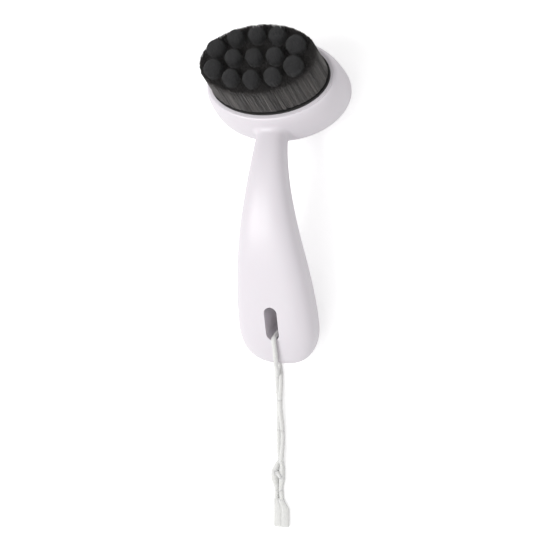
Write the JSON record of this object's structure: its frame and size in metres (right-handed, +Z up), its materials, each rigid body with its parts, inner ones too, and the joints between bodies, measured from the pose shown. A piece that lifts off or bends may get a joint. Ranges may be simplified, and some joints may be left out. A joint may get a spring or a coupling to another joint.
{
  "type": "facial cleansing brush",
  "caption": "Hand-held facial cleansing brush: oval fibre head with domed massage tufts, arched glossy hollow handle and a hanging cord.",
  "frame": {"origin": "middle of the flat on the back of the bowl, where the brush rests when it lies on its back", "axes": "+Z up through the bowl, +Y from the handle's tip towards the head, +X to the right seen from the fibre side"},
  "size_m": [0.0582, 0.2055, 0.0484],
  "materials": {
    "shell": "glossy white moulded plastic with a faint lavender tint",
    "cup": "satin black moulded plastic",
    "resin": "dull dark bonding resin",
    "fibre": "fine dark charcoal fibre, matt",
    "tuft": "dense dark fibre ends, velvety",
    "cord": "soft off-white twisted cord"
  },
  "bodies": {
    "brush": {"front_shell": "shell", "rear_shell": "shell", "bristle_cup": "cup", "bonding_resin": "resin", "bristle_field": "fibre", "massage_tuft_01": "tuft", "massage_tuft_02": "tuft", "massage_tuft_03": "tuft", "massage_tuft_04": "tuft", "massage_tuft_05": "tuft", "massage_tuft_06": "tuft", "massage_tuft_07": "tuft", "massage_tuft_08": "tuft", "massage_tuft_09": "tuft", "massage_tuft_10": "tuft", "massage_tuft_11": "tuft", "massage_tuft_12": "tuft", "massage_tuft_13": "tuft"},
    "loop": {"cord_loop": "cord"},
    "upper_cord": {"cord_upper": "cord"},
    "middle_cord": {"cord_middle": "cord"},
    "lower_cord": {"cord_lower": "cord", "cord_knot": "cord"},
    "cord_end": {"cord_tab": "cord"}
  },
  "joints": [
    {"name": "loop_swing", "type": "hinge", "parent": "brush", "child": "loop", "pos_m": [0, -0.1014, 0.01231], "axis": [0, -0.3305, 0.9438], "range_deg": [-15, 30]},
    {"name": "cord_lift", "type": "hinge", "parent": "loop", "child": "upper_cord", "pos_m": [-0.00384, -0.12406, 0.00095], "axis": [-0.9993, -0.0384, 0], "range_deg": [-70, 40]},
    {"name": "cord_swing", "type": "hinge", "parent": "upper_cord", "child": "middle_cord", "pos_m": [-0.00334, -0.13706, 0.00095], "axis": [0, 0, 1], "range_deg": [-60, 60]},
    {"name": "cord_bend", "type": "hinge", "parent": "middle_cord", "child": "lower_cord", "pos_m": [-0.00284, -0.15006, 0.00095], "axis": [-0.9993, -0.0384, 0], "range_deg": [-70, 70]},
    {"name": "tab_swing", "type": "hinge", "parent": "lower_cord", "child": "cord_end", "pos_m": [-0.0034, -0.17494, 0.00095], "axis": [0, 0, 1], "range_deg": [-50, 50]}
  ]
}
